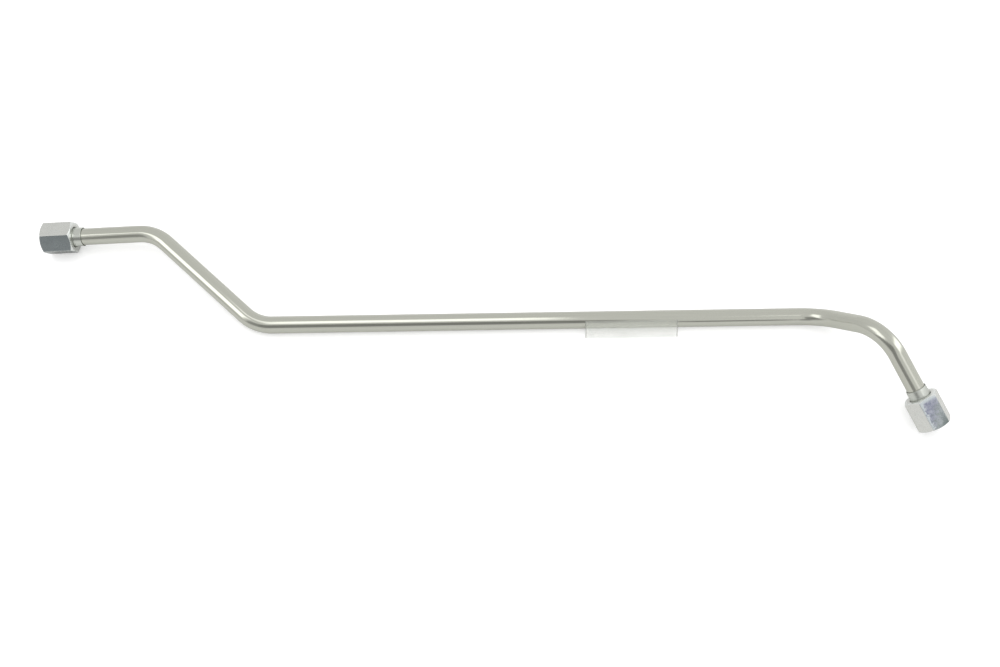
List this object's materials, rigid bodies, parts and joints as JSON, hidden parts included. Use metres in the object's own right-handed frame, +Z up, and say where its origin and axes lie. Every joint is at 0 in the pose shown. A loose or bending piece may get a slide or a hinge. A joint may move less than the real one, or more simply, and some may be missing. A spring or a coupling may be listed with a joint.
{
  "type": "hydraulic tube",
  "caption": "Bent steel hydraulic tube with 37 degree flared ends, each held by a sleeve and a hexagon union nut, and a clear film flag on its long run",
  "frame": {"origin": "middle of the bounding box, at the level of the surface that the tube lies on", "axes": "+X along the long run from the left nut to the right nut, +Z up, -Y toward the side that the film flag and the right nut are on"},
  "size_m": [0.662, 0.1804, 0.0454],
  "materials": {
    "bright_steel": "bright drawn steel, almost mirror smooth along its length",
    "white_zinc": "white zinc plate, satin, slightly blue-green",
    "bright_zinc": "bright zinc plate, turned",
    "clear_film": "thin clear film, slightly milky"
  },
  "bodies": {
    "tube": {"tube": "bright_steel", "label_flag": "clear_film"},
    "left_sleeve": {"left_sleeve": "bright_zinc"},
    "left_nut": {"left_nut": "white_zinc"},
    "right_sleeve": {"right_sleeve": "bright_zinc"},
    "right_nut": {"right_nut": "white_zinc"}
  },
  "joints": [
    {"name": "left_sleeve_slide", "type": "slide", "parent": "tube", "child": "left_sleeve", "axis": [0.9979, 0.0012, 0.065], "range_m": [0, 0.03]},
    {"name": "left_nut_spin", "type": "hinge", "parent": "left_sleeve", "child": "left_nut", "pos_m": [-0.33032, 0.0775, 0.01187], "axis": [0.9979, 0.0012, 0.065], "continuous": true},
    {"name": "right_sleeve_slide", "type": "slide", "parent": "tube", "child": "right_sleeve", "axis": [-0.4829, 0.7581, 0.4382], "range_m": [0, 0.025]},
    {"name": "right_nut_spin", "type": "hinge", "parent": "right_sleeve", "child": "right_nut", "pos_m": [0.32038, -0.0829, 0.01091], "axis": [-0.4829, 0.7581, 0.4382], "continuous": true}
  ]
}
